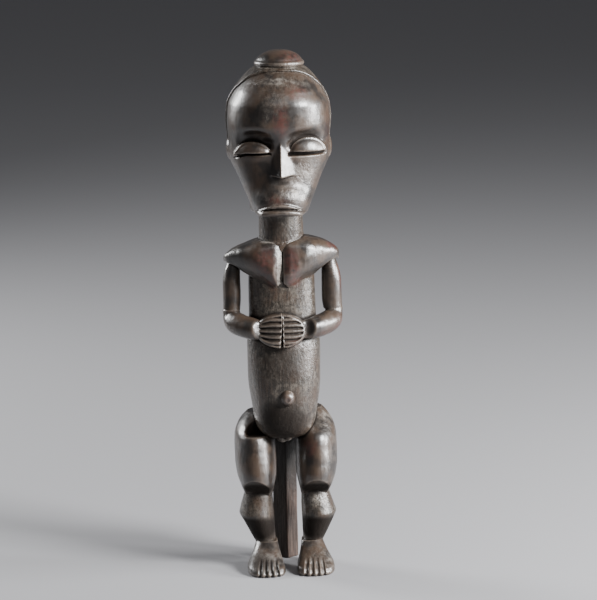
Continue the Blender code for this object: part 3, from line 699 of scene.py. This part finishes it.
def hand(s, side):
    x, z = (s.x - HANDS_MIDDLE_X) / HANDS_HALF_WIDE, (s.z - HANDS_Z) / HANDS_HALF_TALL
    round_edge = s.even((np.sqrt(x * x + z * z) - 1 + 0 * s.y) * HANDS_HALF_TALL)
    wall = trunk_wall(s)
    plate = keep(round_edge, wall - HAND_THICK, radius=3.0)
    plate = np.maximum(plate, -wall - INTO_TRUNK)
    out = side * (s.x - HANDS_X)
    pitch = FINGER_WIDTH * (1 - FINGER_TAPER * ramp(out, *FINGER_TAPER_X))
    wave = 0.5 - 0.5 * np.cos(2 * math.pi * (s.z - HANDS_Z) / pitch)
    held = ramp(out, *FINGER_TIPS) * ramp(x * x + z * z, *FINGER_ROOTS)
    plate = plate + FINGER_CUT * wave**1.5 * held
    proud = np.maximum(-s.y - HAND_FLOOR, 0)
    bevel = out - proud * HAND_BEVEL[side] + 0 * s.z
    plate = keep(plate, -s.even(bevel), radius=0.5)
    return np.maximum(plate, -out)


def thigh(s, side):
    drop = THIGH_DROP[side]
    rows = [(row[0] - drop * max(0.0, row[0] - LAP_Z) / THIGH_RISE, *row[1:]) for row in THIGH]
    body = s.even(s.loft(rows, power=THIGH_POWER, side=side))
    knee = s.plane((side * KNEE_X, KNEE_Y, KNEE_Z), (KNEE_TILT[side], *KNEE_SLOPE))
    body = keep(body, knee, radius=0.5)
    if side < 0:
        hollow = s.ellipsoid((side * LAP_X, LAP_Y, LAP_Z + LAP_RISE), LAP_HOLLOW, side * LAP_TURN)
        body = carve(body, keep(hollow, LAP_Z - s.z, radius=1.0), radius=0.9)
    return keep(body, THIGH_LOW_Z - s.z, radius=0.8)


def calf(s, side):
    tables = (shifted(rows, side) for rows in (CALF_UPPER, CALF_LOWER))
    cones = [s.even(s.loft(rows, power=CALF_POWER, side=side)) for rows in tables]
    return keep(*cones, radius=0.7)


# The cuts between the toes: how wide they spread at the floor and the share of that at their upper end, how
# far they stand inwards of the heel, their depth and width, and where they run.
TOES, TOE_SPREAD, TOE_ROOT, TOE_INWARDS, TOE_CUT, TOE_GAP, TOE_FLOOR = 5, 25.0, 0.74, 14, 1.3, 3.3, 0.2
TOE_LINE_Z, TOE_FADE_Z, TOE_BACK_Y = (-2.0, 11.0), (13.0, 6.0), -25
FOOT_SKEW = 0.11  # how far the foot leans inwards for each millimetre forward


def foot(s, side):
    body = s.even(s.loft(shifted(FOOT, side), power=FOOT_POWER, side=side, skew=FOOT_SKEW))
    middle = side * (FOOT[0][1] - FOOT_SKEW * TOE_INWARDS) + LEGS_SHIFT
    for k in range(1, TOES):
        away = (k / TOES - 0.5) * TOE_SPREAD
        line = s.front_line([(middle + away, TOE_LINE_Z[0]), (middle + away * TOE_ROOT, TOE_LINE_Z[1])])
        line = np.sqrt(line**2 + np.maximum(s.y - TOE_BACK_Y, 0) ** 2)
        body = slit(body, line, TOE_CUT * ramp(s.z, *TOE_FADE_Z), TOE_GAP, floor=TOE_FLOOR)
    return keep(body, -s.z, radius=0.8)


# The post has four faces. Its front edge and its left and right ones are at:
POST_X, POST_HALF, POST_EDGE_X, POST_EDGE_PROUD = -0.7, 9.8, 0.1, 0.2
POST_LEFT_Y, POST_RIGHT_Y, POST_INSIDE = 21.0, 21.8, (0.0, 22.0, 50.0)
POST_INTO_SEAT = 2  # how far it runs on past its CAD node


def rear_post(s):
    low, high = mm_box("rear_post")
    front, back = (POST_EDGE_X, low[1] - POST_EDGE_PROUD), (POST_X, high[1])
    left, right = (POST_X + POST_HALF, POST_LEFT_Y), (POST_X - POST_HALF, POST_RIGHT_Y)
    sides = []
    for a, b in ((front, left), (left, back), (back, right), (right, front)):
        sides.append(facet(s, (*a, 0), (*b, 0), (*a, 100), POST_INSIDE))
    return keep(*sides, -s.z, s.z - high[2] - POST_INTO_SEAT, radius=1.0)


def pair(name, build):
    """The left and the right one of a member that comes twice."""
    return {f"left_{name}": partial(build, side=1), f"right_{name}": partial(build, side=-1)}


MEMBERS = {
    "topknot": topknot,
    "coiffure": coiffure,
    "head": head,
    **pair("ear", ear),
    "neck": neck,
    "chest": chest,
    "trunk": trunk,
    "navel": navel,
    **pair("upper_arm", upper_arm),
    **pair("forearm", forearm),
    **pair("hand", hand),
    **pair("thigh", thigh),
    **pair("calf", calf),
    **pair("foot", foot),
    "rear_post": rear_post,
}
BROAD_MEMBERS = ("head", "coiffure", "trunk")
FINE_MEMBERS = ("left_hand", "right_hand", "left_foot", "right_foot", "topknot", "navel")


# ---- Marks of the knife, wear and crust, painted shade and painted highlights ----

NOISE_CELLS, FAR = 32, 9.0  # cells before the noise repeats, and more than any distance squared in it
RIDGE_WIDTH = 0.9


def bumps(points, size, seed):
    """Smooth noise from -1 to 1 whose bumps are about this many millimetres apart in x, y and z."""
    cells = np.random.default_rng(seed).uniform(-1, 1, (NOISE_CELLS,) * 3)
    at = points / np.array(size, float)
    cell = np.floor(at).astype(int)
    t = at - cell
    t = t * t * (3 - 2 * t)
    total = 0
    for corner in CORNERS:
        near = np.where(corner == 1, t, 1 - t).prod(axis=1)
        total = total + near * cells[tuple(((cell + corner) % NOISE_CELLS).T)]
    return total


def scoops(points, size, seed):
    """0 in the middle of each knife mark and 1 on the ridges between marks, which are this many mm apart."""
    jitter = np.random.default_rng(seed).uniform(0.15, 0.85, (NOISE_CELLS,) * 3 + (3,))
    at = points / np.array(size, float)
    cell = np.floor(at).astype(int)
    nearest, second = np.full(len(at), FAR), np.full(len(at), FAR)
    for i in (-1, 0, 1):
        for j in (-1, 0, 1):
            for k in (-1, 0, 1):
                other = cell + (i, j, k)
                middle = other + jitter[tuple((other % NOISE_CELLS).T)]
                away = ((at - middle) ** 2).sum(axis=1)
                second = np.minimum(second, np.maximum(away, nearest))
                nearest = np.minimum(nearest, away)
    return np.clip(1 - (np.sqrt(second) - np.sqrt(nearest)) / RIDGE_WIDTH, 0, 1)


SHELTER_STEP, SHELTER_ROUNDS, SHELTER_REACH = 1.5, 7, 12.0
SHELTER_BEFORE, SHELTER_AFTER = 3, 4  # how many steps a member's block reaches past it


def shelter_map():
    """How much wood lies round each place, 0 to 1: half on an open face, more in a recess, less on an edge."""
    low, high = np.array(cad_box[0]) / MM - SHELTER_REACH, np.array(cad_box[1]) / MM + SHELTER_REACH
    whole = Space(low, high, SHELTER_STEP)
    solid = np.zeros(whole.shape, np.float32)
    for node, build in MEMBERS.items():
        near = [np.floor((corner - low) / SHELTER_STEP).astype(int) for corner in mm_box(node)]
        first, last = near[0] - SHELTER_BEFORE, np.minimum(near[1] + SHELTER_AFTER, np.array(whole.shape) - 2)
        part = Space(low + first * SHELTER_STEP, low + (last - 0.5) * SHELTER_STEP, SHELTER_STEP)
        block = tuple(slice(i, i + n) for i, n in zip(first, part.shape))
        solid[block] = np.maximum(solid[block], np.clip(0.5 - build(part) / SHELTER_STEP, 0, 1))
    for _ in range(SHELTER_ROUNDS):
        for axis in range(3):
            solid = (np.roll(solid, 1, axis) + solid + np.roll(solid, -1, axis)) / 3
    return low, solid


# Where handling has worn the black crust to red wood: middle, radii and strength.
RED_PATCHES = (
    ((0.5, -37, 349), (6, 8, 13), 0.8),
    ((13, -29, 371), (9, 9, 7), 0.6),
    ((13, -8, 397), (12, 16, 7), 0.7),
    ((36, -10, 344), (6, 10, 14), 0.2),
    ((-5, -37, 291), (9, 6, 4), 0.9),
    ((-13, -21, 240), (13, 7, 14), 0.75),
    ((7, -22, 241), (7, 7, 15), 0.7),
    ((10, -21, 226), (7, 6, 5), 1),
    ((-7.5, -21, 227), (5, 6, 7), 0.9),
    ((39, -3, 251), (7, 9, 5), 0.9),
    ((45, 0, 227), (5, 9, 12), 0.9),
    ((41, -8, 191), (8, 10, 8), 1),
    ((29, -18, 187), (10, 9, 6), 0.6),
    ((8, -28, 181), (10, 6, 5), 0.8),
    ((1.2, -35, 138), (5, 5, 6), 0.6),
    ((17, -21, 98), (7, 8, 8), 0.8),
    ((22, -8, 30), (6, 10, 12), 0.3),
    ((-14, -22, 11), (6, 8, 4), 0.4),
)
# Where a grey crust, rough and pitted, has stayed on, and where a pale painted highlight stands on a lit face.
CRUST_AND_HIGHLIGHT_PATCHES = (
    ((20, -26, 313), (15, 12, 13), 0.75),
    ((7, -36, 296), (15, 9, 7), 0.75),
    ((-8, -36, 290), (14, 9, 6), 0.6),
    ((-6, -30, 363), (12, 12, 16), 0.55),
    ((0, -20, 378), (32, 14, 6), 0.7),
    ((33, -2, 366), (6, 12, 14), 0.5),
    ((0, -14, 387), (26, 14, 5), 0.7),
    ((-38, -2, 249), (12, 14, 6), 0.7),
    ((0, -8, 256), (26, 14, 5), 0.8),
    ((23, -14, 52.5), (12, 12, 7.5), 0.85),
    ((34, 0, 118), (12, 24, 16), 0.8),
    ((36, -2, 204), (8, 10, 6), 0.8),
    ((-19, -22, 8), (17, 20, 12), 0.45),
    ((23, -22, 8), (17, 20, 12), 0.75),
    ((36, 0, 90), (7, 24, 24), 0.6),
    # Pale painted highlights: the lit wall of the groove between the breasts, the stub under the belly and the
    # lit rim of the belly on its left.
    ((-2.2, -20, 236), (3.6, 6, 18), 1.3),
    ((1, -16, 104), (7, 6, 4), 1),
    ((24, -14, 121), (3, 7, 6), 1),
    ((20, -19, 113), (4, 6, 4), 1),
    ((-1, -32, 190.4), (22, 8, 14), 0.4),
)
# Places kept light although wood lies around them: the shelter is lifted there, and with it the painted shade
# and the crust.
OPEN_PATCHES = (
    ((-3, -21, 236), (5, 6, 17), 1),
    ((-1, -32, 190.4), (22, 8, 14), 0.5),
    ((1, -16, 104), (7, 6, 4), 1),
    ((24, -14, 121), (4, 7, 6), 1),
    ((20, -19, 113), (5, 6, 4), 1),
    ((-19, -24, 6), (16, 18, 8), 0.7),
    ((23, -24, 6), (16, 18, 8), 0.7),
)
# Painted shade, black: the eye slits, the hollow over the right lid, under the nose, the mouth, the knee cuts,
# the lower calves, the belly, under the chin, the hands and the right foot.
SHADE_PATCHES = (
    ((21.5, -25, 325), (17, 14, 1.7), 1),
    ((-21, -25, 325), (15, 14, 0.9), 1),
    ((-14, -32, 335.5), (11, 8, 4), 0.7),
    ((1.5, -34, 304), (10, 8, 3), 0.5),
    ((-0.7, -36, 284.6), (17, 12, 0.8), 0.8),
    ((-22, -21, 64.5), (19, 14, 8.5), 0.62),
    ((22.5, -21, 64.5), (19, 14, 8.5), 0.62),
    ((-24, -8, 33), (20, 21, 13), 0.75),
    ((24, -8, 33), (20, 21, 13), 0.75),
    ((-2, -26, 120), (28, 18, 26), 0.52),
    ((0, -28, 165), (24, 16, 22), 0.42),
    ((0, -12, 266), (18, 14, 14), 0.35),
    ((0, -31, 190.4), (24, 10, 14), 0.32),
    ((-20, -22, 7), (15, 20, 12), 0.50),
)


PATCH_FADE = (1.35, 0.35)  # where a patch ends and is full, as shares of its radii


def patched(points, patches):
    """The strength of these patches at each point."""
    total = np.zeros(len(points))
    for middle, radii, strength in patches:
        away = np.sqrt((((points - middle) / radii) ** 2).sum(axis=1))
        total = np.maximum(total, strength * ramp(away, *PATCH_FADE))
    return total


RELIEF_REACH, RELIEF_FULL = 1.2, 0.22


def relief(points, normals, quads, step):
    """How hollow each place is, in millimetres over RELIEF_REACH: above 0 in a groove, below 0 on an edge."""
    start, end = quads.ravel(), np.roll(quads, -1, axis=1).ravel()
    count = np.maximum(np.bincount(start, minlength=len(points)), 1)
    mean = points
    for _ in range(max(1, round((RELIEF_REACH / step) ** 2))):
        mean = np.stack([np.bincount(start, column[end], len(points)) / count for column in mean.T], axis=1)
    return ((mean - points) * normals).sum(axis=1) * step


CRUSTED, CRUST_LEAST = ("neck", "trunk", "rear_post"), 0.4  # what is crusted all over, and how much
SMOOTH = {"left_hand": 0.5, "right_hand": 0.5, "head": 0.6, "topknot": 0.6, "left_foot": 0.7, "right_foot": 0.7}
# How much open patches and the painted shade patches change the shelter, and grooves (more painted shade) and
# edges as well, and how crust follows it.
OPEN_SHARE, OPEN_FROM, SHADE_SHARE = 0.5, 0.45, 0.34
GROOVE_SHADE, GROOVE_FROM, EDGE_FROM, CRUST_BY_SHELTER = 0.16, 0.15, 0.2, 2.2
# Each kind of mark: its height, its spacing in x, y and z, and its seed.
CRUST_MOTTLE = (0.25, (11, 11, 14), 5)
WAVE, RIPPLE, STREAK = (0.22, (13, 13, 17), 1), (0.10, (5.5, 5.5, 8), 2), (0.05, (1.3, 1.3, 15), 6)
KNIFE, PIT = (0.11, (5.2, 5.2, 7.0), 3), (0.16, (1.5, 1.5, 2.0), 4)
DEEP_PIT, DEEP_PIT_AT = 0.10, (0.32, 0.18)


def worked(node, points, normals, shelter, hollow):
    """The points moved by marks of the knife and pits of the crust, and their red, crust, shelter and edge. The
    crust carries painted highlights too, and the shelter painted shade.
    """

    def marks(row):
        height, size, seed = row
        return height * bumps(points, size, seed)

    low, solid = shelter
    hidden = sampled(solid, (points - low) / SHELTER_STEP)[0]
    # Painted shade: shade patches and grooves raise the shelter, which the materials paint black; open patches
    # lift it.
    hidden = hidden - OPEN_SHARE * patched(points, OPEN_PATCHES) * np.maximum(hidden - OPEN_FROM, 0) / 0.5
    hidden = np.maximum(hidden, 0.5 + SHADE_SHARE * patched(points, SHADE_PATCHES))
    groove = np.clip(hollow / RELIEF_FULL, -1, 1)
    hidden = hidden + GROOVE_SHADE * np.maximum(groove - GROOVE_FROM, 0)
    edge = np.maximum(-groove - EDGE_FROM, 0) / (1 - EDGE_FROM)
    crust = patched(points, CRUST_AND_HIGHLIGHT_PATCHES)
    if node in CRUSTED:
        crust = np.maximum(crust, CRUST_LEAST)
    crust = np.clip(crust + CRUST_BY_SHELTER * (hidden - 0.5) + marks(CRUST_MOTTLE), 0, 1)
    red = patched(points, RED_PATCHES) * (1 - 0.5 * crust)
    wave = marks(WAVE) + marks(RIPPLE)
    knife = KNIFE[0] * (scoops(points, *KNIFE[1:]) - 0.5)
    wave = wave + marks(STREAK)
    pits = 0.5 + 0.5 * bumps(points, *PIT[1:])
    pitted = crust * (PIT[0] * (pits - 0.5) - DEEP_PIT * ramp(pits, *DEEP_PIT_AT))
    move = SMOOTH.get(node, 1.0) * (wave + knife) + pitted
    return points + normals * move[:, None], np.stack([red, crust, hidden, edge], axis=1)


def sculpt(node, shelter):
    """A closed mesh object of this member, riding on the body in its CAD node's place."""
    low, high = mm_box(node)
    step = BROAD if node in BROAD_MEMBERS else FINE if node in FINE_MEMBERS else LATTICE
    space = Space(low - MARGIN, high + MARGIN, step)
    field = np.ascontiguousarray(MEMBERS[node](space), np.float32)
    for axis in range(3):  # nothing may reach the lattice's own faces
        edge = [slice(None)] * 3
        for end in (0, -1):
            edge[axis] = end
            field[tuple(edge)] = np.maximum(field[tuple(edge)], step)
    points, normals, quads = skin(field)
    hollow = relief(points, normals, quads, step)
    points, wear_and_painted_light = worked(node, points * step + space.low, normals, shelter, hollow)
    mesh = bpy.data.meshes.new(f"carved_{node}")
    mesh.from_pydata((points * MM).tolist(), [], quads.tolist())
    mesh.shade_smooth()
    # The layer holds the wear together with the painted shade and the painted highlights.
    layer = mesh.attributes.new("wear_and_painted_light", "FLOAT_COLOR", "POINT")
    layer.data.foreach_set("color", wear_and_painted_light.ravel().astype(np.float32))
    piece = bpy.data.objects.new(f"carved_{node}", mesh)
    bpy.context.scene.collection.objects.link(piece)
    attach(piece, "root")
    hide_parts(node)
    return piece


# ---- Materials ----


class Nodes:
    """A short way to write a material's nodes."""

    def __init__(self, name):
        self.material = bpy.data.materials.new(name)
        self.material.use_nodes = True
        self.tree = self.material.node_tree
        self.shader = self.tree.nodes["Principled BSDF"]
        self.place = self.tree.nodes.new("ShaderNodeTexCoord").outputs["Object"]
        # The mesh's wear layer: red wear, crust with painted highlights, shelter with painted shade, and edge
        # wear in its alpha.
        wear_and_painted_light = self.tree.nodes.new("ShaderNodeVertexColor")
        wear_and_painted_light.layer_name = "wear_and_painted_light"
        split = self.tree.nodes.new("ShaderNodeSeparateColor")
        self.link(wear_and_painted_light.outputs["Color"], split.inputs["Color"])
        self.red, self.crust, self.shelter = split.outputs
        self.edge = wear_and_painted_light.outputs["Alpha"]

    def link(self, value, socket):
        if isinstance(value, bpy.types.NodeSocket):
            self.tree.links.new(value, socket)
        else:
            socket.default_value = value

    def give(self, name, value):
        self.link(value, self.shader.inputs[name])

    def noise(self, size, detail=3.0, roughness=0.55, stretch=(1, 1, 1)):
        """Noise from 0 to 1 whose bumps are about this many millimetres apart."""
        scaled = self.tree.nodes.new("ShaderNodeMapping")
        self.link(self.place, scaled.inputs["Vector"])
        scaled.inputs["Scale"].default_value = [1 / (size * MM * s) for s in stretch]
        node = self.tree.nodes.new("ShaderNodeTexNoise")
        self.link(scaled.outputs["Vector"], node.inputs["Vector"])
        node.inputs["Scale"].default_value = 1.0
        node.inputs["Detail"].default_value = detail
        node.inputs["Roughness"].default_value = roughness
        return node.outputs["Fac"]

    def math(self, operation, a, b=0.0, clamp=False):
        node = self.tree.nodes.new("ShaderNodeMath")
        node.operation, node.use_clamp = operation, clamp
        self.link(a, node.inputs[0])
        self.link(b, node.inputs[1])
        return node.outputs[0]

    def times(self, a, b, clamp=False):
        return self.math("MULTIPLY", a, b, clamp)

    def span(self, value, low, high, start=0.0, end=1.0):
        """start where value is low, end where it is high, and smooth between."""
        node = self.tree.nodes.new("ShaderNodeMapRange")
        node.interpolation_type = "SMOOTHSTEP"
        inputs = {"Value": value, "From Min": low, "From Max": high, "To Min": start, "To Max": end}
        for name, given in inputs.items():
            self.link(given, node.inputs[name])
        return node.outputs[0]

    def mix(self, share, a, b):
        """From colour a to colour b."""
        node = self.tree.nodes.new("ShaderNodeMix")
        node.data_type = "RGBA"
        self.link(share, node.inputs[0])
        self.link(a if isinstance(a, bpy.types.NodeSocket) else (*a, 1), node.inputs[6])
        self.link(b if isinstance(b, bpy.types.NodeSocket) else (*b, 1), node.inputs[7])
        return node.outputs[2]

    def reddened(self, colour):
        """This colour, with red wood in spots where handling has worn it."""
        spots = self.span(self.noise(3.0, 5.0, 0.6), 0.28, 0.66)
        return self.mix(self.times(self.red, spots), colour, RED_WOOD)

    def darkened(self, colour, rough):
        """Sets this colour and roughness, with painted shade: black and dull in sheltered places. Returns the
        share of black.
        """
        deep = self.span(self.shelter, *DEEP)
        self.give("Base Color", self.mix(deep, colour, BLACK))
        self.give("Specular IOR Level", self.math("SUBTRACT", 0.5, self.times(deep, DEEP_DULL)))
        self.give("Roughness", self.math("ADD", rough, self.times(deep, DEEP_ROUGH)))
        return deep

    def bump(self, *layers):
        """Sets bumps in layers, each a height from 0 to 1 with its millimetres."""
        for height, millimetres in layers:
            node = self.tree.nodes.new("ShaderNodeBump")
            node.inputs["Distance"].default_value = millimetres * MM
            node.inputs["Strength"].default_value = 1.0
            self.link(height, node.inputs["Height"])
            for below in self.shader.inputs["Normal"].links:
                self.link(below.from_socket, node.inputs["Normal"])
            self.give("Normal", node.outputs["Normal"])


BLACK, BROWN, RED_WOOD = (0.011, 0.0085, 0.0070), (0.038, 0.025, 0.017), (0.052, 0.018, 0.014)
# The pale grey is dust on the thickest crust, and also painted highlight on the lit places of the crust
# patches.
CRUST_GREY, CRUST_DARK, DUST_AND_HIGHLIGHT = (0.088, 0.074, 0.060), (0.022, 0.018, 0.014), (0.230, 0.205, 0.180)
EDGE_BROWN = (0.105, 0.083, 0.066)
POST_PALE, POST_DARK = (0.095, 0.062, 0.048), (0.028, 0.017, 0.013)
DEEP, DEEP_DULL, DEEP_ROUGH = (0.56, 0.70), 0.42, 0.30  # the shelter where the painted shade, black, starts and is full
OIL_IOR, COAT, COAT_ROUGHNESS, POST_GLOSS = 1.55, 0.25, 0.25, 0.3
POST_SHADOW_X, POST_SHADE_Z = (-0.0006, 0.0004), (0.038, 0.082)  # in metres, across the front edge and upwards: painted shadow on the right face, painted shade at the top


def polished_patina():
    """Black oiled wood, worn to red where it is handled, with grey crust left in its recesses, and painted
    shade, black and dull, in its sheltered places.
    """
    n = Nodes("polished_patina")
    blotch, mottle, speck = n.noise(15.0, 4.0), n.noise(4.5, 6.0, 0.65), n.noise(1.2, 5.0, 0.65)
    grain = n.noise(0.7, 3.0, 0.5, stretch=(1, 1, 14))
    colour = n.mix(n.span(blotch, 0.38, 0.62), BLACK, BROWN)
    colour = n.reddened(colour)
    patchy = n.times(n.crust, n.span(mottle, 0.42, 0.66), clamp=True)
    colour = n.mix(patchy, colour, n.mix(n.span(speck, 0.35, 0.65), CRUST_DARK, CRUST_GREY))
    # Pale grey dust on the thickest crust, and painted highlights where the patches stand for them.
    dust_and_highlight = n.times(n.span(n.crust, 0.72, 1.0, 0.0, 0.85), n.span(mottle, 0.30, 0.62))
    colour = n.mix(dust_and_highlight, colour, DUST_AND_HIGHLIGHT)
    colour = n.mix(n.times(n.edge, 0.8), colour, EDGE_BROWN)
    rough = n.math("ADD", n.span(mottle, 0.3, 0.7, 0.28, 0.40), n.times(n.crust, 0.08))
    deep = n.darkened(colour, rough)
    n.bump((grain, 0.04), (n.times(speck, n.math("ADD", n.crust, 0.10)), 0.42))
    n.give("IOR", OIL_IOR)
    n.give("Coat Weight", n.math("SUBTRACT", COAT, n.times(deep, COAT)))
    n.give("Coat Roughness", COAT_ROUGHNESS)
    return n.material


def matt_patina():
    """A dull grey-brown crust over dark wood, striped by the grain, with painted shade, black and dull, in its
    sheltered places.
    """
    n = Nodes("matt_patina")
    blotch, mottle, speck = n.noise(14.0, 4.0), n.noise(4.0, 6.0, 0.65), n.noise(1.0, 5.0, 0.7)
    grain = n.noise(1.1, 4.0, 0.6, stretch=(1, 1, 16))
    colour = n.mix(n.span(mottle, 0.38, 0.70), CRUST_DARK, CRUST_GREY)
    colour = n.mix(n.span(blotch, 0.40, 0.64), colour, BROWN)
    colour = n.mix(n.times(n.span(grain, 0.48, 0.62), 0.7), colour, BLACK)
    # Pale grey dust on the thickest crust, and painted highlights where the patches stand for them.
    dust_and_highlight = n.times(n.span(n.crust, 0.75, 1.0), n.span(speck, 0.40, 0.62))
    colour = n.mix(n.times(dust_and_highlight, 0.6), colour, DUST_AND_HIGHLIGHT)
    colour = n.reddened(colour)
    n.darkened(colour, n.span(speck, 0.3, 0.7, 0.24, 0.38))
    n.bump((grain, 0.12), (mottle, 0.16), (speck, 0.13))
    n.give("IOR", OIL_IOR)
    return n.material


def worn_wood():
    """Bare red-brown wood with an open grain, with painted shade towards the top and painted shadow on its
    right side.
    """
    n = Nodes("worn_wood")
    speck = n.noise(1.1, 6.0, 0.7)
    grain = n.noise(1.0, 5.0, 0.6, stretch=(1, 1, 24))
    colour = n.mix(n.span(grain, 0.38, 0.62), POST_PALE, POST_DARK)
    colour = n.mix(n.times(n.span(speck, 0.5, 0.66), 0.6), colour, CRUST_DARK)
    axes = n.tree.nodes.new("ShaderNodeSeparateXYZ")
    n.link(n.place, axes.inputs[0])
    # Painted shadow on the post's right face, and painted shade towards its top.
    colour = n.mix(n.span(axes.outputs["X"], *POST_SHADOW_X, 0.7, 0.0), colour, BLACK)
    colour = n.mix(n.span(axes.outputs["Z"], *POST_SHADE_Z), colour, BLACK)
    n.give("Base Color", colour)
    n.give("Specular IOR Level", POST_GLOSS)
    n.give("Roughness", n.span(speck, 0.3, 0.7, 0.42, 0.6))
    n.bump((grain, 0.20), (speck, 0.20))
    return n.material


LOOKS = {"polished_patina": polished_patina(), "matt_patina": matt_patina(), "worn_wood": worn_wood()}
SLOTS = {row["node"]: row["material_slot"] for row in frame["record"]["subparts"]}
SHELTER = shelter_map()
for node in MEMBERS:
    piece = sculpt(node, SHELTER)
    piece.data.materials.append(LOOKS[SLOTS[node]])


# ---- Floor, light and camera ----

FLOOR_SIZE, FLOOR_COLOUR, FLOOR_ROUGHNESS = 60.0, (0.25, 0.25, 0.26, 1), 0.55
WORLD_COLOUR = (0.12, 0.12, 0.127, 1)
# Each light: where it stands, what it aims at, its width, height and watts.
LIGHTS = (
    ((1.05, -0.66, 0.86), (0.0, 0.0, 0.22), 0.38, 0.46, 74.0),
    ((1.38, -0.18, 0.46), (0.0, 0.0, 0.22), 0.50, 0.40, 50.0),
    ((-1.15, 0.78, 0.76), (0.0, 0.0, 0.22), 0.36, 0.66, 34.0),
    ((0.2, -1.6, 1.9), (0.0, 0.0, 0.20), 1.0, 0.8, 6.0),
)


def add_floor():
    bpy.ops.mesh.primitive_plane_add(size=FLOOR_SIZE)
    floor = bpy.context.object
    floor.name = "floor"
    material = bpy.data.materials.new("pale_floor")
    material.use_nodes = True
    shader = material.node_tree.nodes["Principled BSDF"]
    shader.inputs["Base Color"].default_value = FLOOR_COLOUR
    shader.inputs["Roughness"].default_value = FLOOR_ROUGHNESS
    floor.data.materials.append(material)


def add_light(place, aim, width, height, watts):
    data = bpy.data.lights.new("softbox", "AREA")
    data.shape, data.size, data.size_y, data.energy = "RECTANGLE", width, height, watts
    light = bpy.data.objects.new("softbox", data)
    bpy.context.scene.collection.objects.link(light)
    light.location = place
    light.rotation_euler = (Vector(aim) - Vector(place)).to_track_quat("-Z", "Y").to_euler()


CAMERA_TARGET = (12.25, 0.0, 208.69)  # in millimetres
CAMERA_AWAY, CAMERA_TURN, CAMERA_RISE, CAMERA_ROLL = 2000.0, -2.0, 11.0, -1.2
CAMERA_LENS, CAMERA_SENSOR = 157.1, 36.0


def add_camera():
    turn, rise, roll = (math.radians(a) for a in (CAMERA_TURN, CAMERA_RISE, CAMERA_ROLL))
    back = Vector((math.sin(turn) * math.cos(rise), -math.cos(turn) * math.cos(rise), math.sin(rise)))
    data = bpy.data.cameras.new("camera")
    data.lens, data.sensor_width = CAMERA_LENS, CAMERA_SENSOR
    camera = bpy.data.objects.new("camera", data)
    bpy.context.scene.collection.objects.link(camera)
    level = (-back).to_track_quat("-Z", "Y")
    camera.rotation_mode = "QUATERNION"
    camera.rotation_quaternion = level @ Matrix.Rotation(roll, 3, "Z").to_quaternion()
    camera.location = (Vector(CAMERA_TARGET) + back * CAMERA_AWAY) * MM
    bpy.context.scene.camera = camera


world = bpy.data.worlds.new("world")
world.use_nodes = True
world.node_tree.nodes["Background"].inputs["Color"].default_value = WORLD_COLOUR
bpy.context.scene.world = world
add_floor()
for row in LIGHTS:
    add_light(*row)
add_camera()
